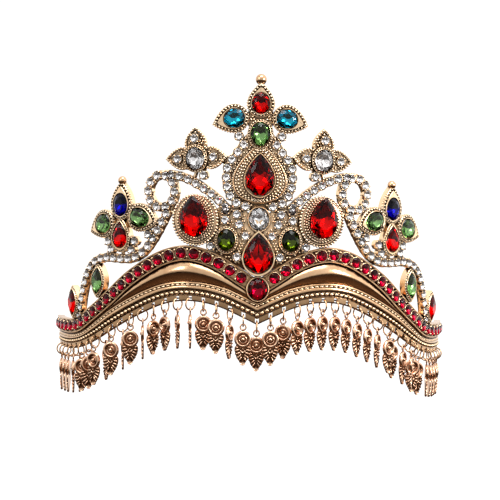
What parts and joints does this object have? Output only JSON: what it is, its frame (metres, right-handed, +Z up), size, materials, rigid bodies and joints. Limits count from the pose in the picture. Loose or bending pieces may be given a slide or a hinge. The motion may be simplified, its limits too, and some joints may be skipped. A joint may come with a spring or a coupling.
{
  "type": "bridal crown",
  "caption": "Half-ring bridal crown of pale gold openwork set with red, green, blue and clear cut stones, over a waved band with a fringe of small leaf drops.",
  "frame": {"origin": "centre of the head circle, level with the band's lower edge at the half ring's two ends", "axes": "+Z up along the head, front of the crown towards -Y, +X towards the wearer's left"},
  "size_m": [0.1456, 0.0678, 0.1158],
  "materials": {
    "pale_gold_plate": "cast zinc alloy, pale champagne gold plating, polished on the leaf and milled elsewhere",
    "rose_gold_plate": "stamped drops with rose gold plating, darker in the recesses",
    "red_glass": "foil-backed faceted glass, scarlet",
    "crimson_glass": "foil-backed faceted glass, crimson",
    "green_glass": "foil-backed faceted glass, peridot green",
    "olive_glass": "foil-backed faceted glass, dark olive",
    "aqua_glass": "foil-backed faceted glass, aqua",
    "blue_glass": "foil-backed faceted glass, royal blue",
    "clear_glass": "foil-backed faceted glass, clear"
  },
  "bodies": {
    "root": {"frame": "pale_gold_plate", "jump_rings": "pale_gold_plate", "drops": "rose_gold_plate", "red_row": "crimson_glass", "clear_field": "clear_glass", "clear_sprigs": "clear_glass", "top_oval": "red_glass", "aqua_left": "aqua_glass", "aqua_right": "aqua_glass", "green_oval": "green_glass", "centre_pear": "red_glass", "centre_oval": "clear_glass", "olive_left": "olive_glass", "olive_right": "olive_glass", "base_pear": "red_glass", "side_pear_left": "red_glass", "side_pear_right": "red_glass", "star_left": "clear_glass", "star_right": "clear_glass", "violet_left": "blue_glass", "violet_right": "blue_glass", "inner_green_left": "green_glass", "inner_green_right": "green_glass", "outer_green_left": "green_glass", "outer_green_right": "green_glass", "flower_red_left": "red_glass", "flower_red_right": "red_glass", "hanging_green_left": "green_glass", "hanging_green_right": "green_glass", "end_red_left": "red_glass", "end_red_right": "red_glass", "v_stone": "crimson_glass"}
  },
  "joints": []
}
